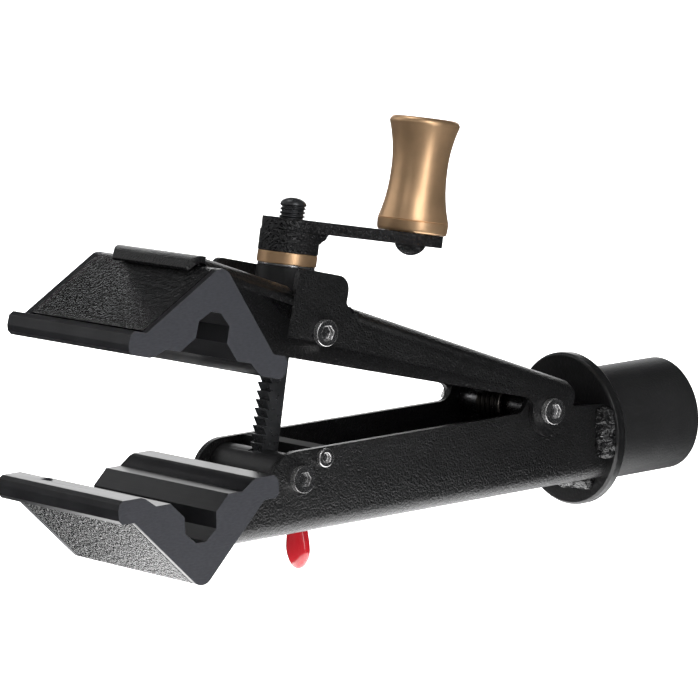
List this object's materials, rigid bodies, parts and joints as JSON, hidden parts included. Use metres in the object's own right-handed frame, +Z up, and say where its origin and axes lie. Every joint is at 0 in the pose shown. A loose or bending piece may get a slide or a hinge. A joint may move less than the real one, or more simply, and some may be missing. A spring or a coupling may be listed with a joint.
{
  "type": "repair stand clamp head",
  "caption": "Clamp head with two V jaws on hinged steel arms, closed by a toothed ratchet bar and a cranked screw, with a plain spigot for a work stand.",
  "frame": {"origin": "on the spigot's axis, at the flange face that meets the stand", "axes": "+X out along the spigot, away from the jaws; +Z up, from the lower jaw toward the upper; +Y toward the hinge bolt's nut"},
  "size_m": [0.3565, 0.0908, 0.2006],
  "materials": {
    "black_coat": "wrinkled semi-gloss powder coat",
    "satin_black_tube": "smooth satin",
    "weld_black": "glossy, lumpy",
    "jaw_plastic": "satin black with dull grey sawn ends",
    "zinc_steel": "satin zinc plate",
    "bolt_steel": "dark oxide",
    "dark_steel": "satin black",
    "phosphate_steel": "dull phosphate grey",
    "spring_steel": "drawn wire",
    "brass": "satin, turned",
    "gloss_black": "glossy",
    "red_vinyl": "glossy dipped vinyl"
  },
  "bodies": {
    "frame": {"spigot_tube": "satin_black_tube", "mounting_flange": "black_coat", "flange_welds": "weld_black", "lower_arm": "black_coat", "lower_jaw_plate": "black_coat", "lower_jaw_cover": "jaw_plastic", "lower_cover_screws": "zinc_steel", "hinge_bolt": "bolt_steel", "hinge_nut": "bolt_steel", "hinge_sleeve": "zinc_steel", "torsion_spring": "spring_steel", "swivel_bolts": "bolt_steel", "guide_block": "dark_steel", "guide_screws": "bolt_steel", "slide_rails": "dark_steel", "spring_seat": "dark_steel", "lock_spring": "spring_steel"},
    "upper_jaw": {"upper_arm": "black_coat", "upper_jaw_plate": "black_coat", "upper_jaw_cover": "jaw_plastic", "upper_cover_screws": "zinc_steel", "trunnion_bolts": "bolt_steel"},
    "trunnion": {"trunnion_block": "dark_steel", "thin_washer": "zinc_steel", "brass_washer": "brass"},
    "bar": {"ratchet_bar": "phosphate_steel"},
    "crank": {"crank_hub": "gloss_black", "crank_arm": "gloss_black", "knob_pin": "zinc_steel", "pin_nut": "gloss_black"},
    "knob": {"spinner_knob": "brass"},
    "swivel": {"swivel_barrel": "dark_steel"},
    "lock": {"lock_slide": "phosphate_steel", "release_tab": "phosphate_steel", "release_grip": "red_vinyl"}
  },
  "joints": [
    {"name": "jaw_hinge", "type": "hinge", "parent": "frame", "child": "upper_jaw", "pos_m": [-0.0432, 0, 0.017], "axis": [0, 1, 0], "range_deg": [-13.9, 0], "stiffness_Nm_per_rad": 3, "springref_deg": 74.48},
    {"name": "trunnion_tilt", "type": "hinge", "parent": "upper_jaw", "child": "trunnion", "pos_m": [-0.17592, 0, 0.0692], "axis": [0, 1, 0], "range_deg": [0, 9.8]},
    {"name": "crank_turn", "type": "hinge", "parent": "trunnion", "child": "crank", "pos_m": [-0.17592, 0, 0.0692], "axis": [0.1917, 0, 0.9814], "range_deg": [-2160, 1080]},
    {"name": "bar_travel", "type": "slide", "parent": "trunnion", "child": "bar", "axis": [0.1917, 0, 0.9814], "range_m": [-0.0053, 0.0106]},
    {"name": "knob_spin", "type": "hinge", "parent": "crank", "child": "knob", "pos_m": [-0.09791, 0, 0.10083], "axis": [0.1917, 0, 0.9814], "continuous": true},
    {"name": "swivel_tilt", "type": "hinge", "parent": "frame", "child": "swivel", "pos_m": [-0.1885, 0, 0.0048], "axis": [0, 1, 0], "range_deg": [-4.5, 0]},
    {"name": "lock_release", "type": "slide", "parent": "frame", "child": "lock", "axis": [1, 0, 0], "range_m": [-0.0025, 0.0004], "stiffness_N_per_m": 600, "springref_m": 0.0028, "deforming": ["lock_spring"]}
  ],
  "couplings": [
    {"joint": "trunnion_tilt", "follows": "jaw_hinge", "ratio": -0.69},
    {"joint": "swivel_tilt", "follows": "jaw_hinge", "ratio": 0.31},
    {"joint": "bar_travel", "follows": "crank_turn", "m_per_rad": -0.00027852}
  ]
}
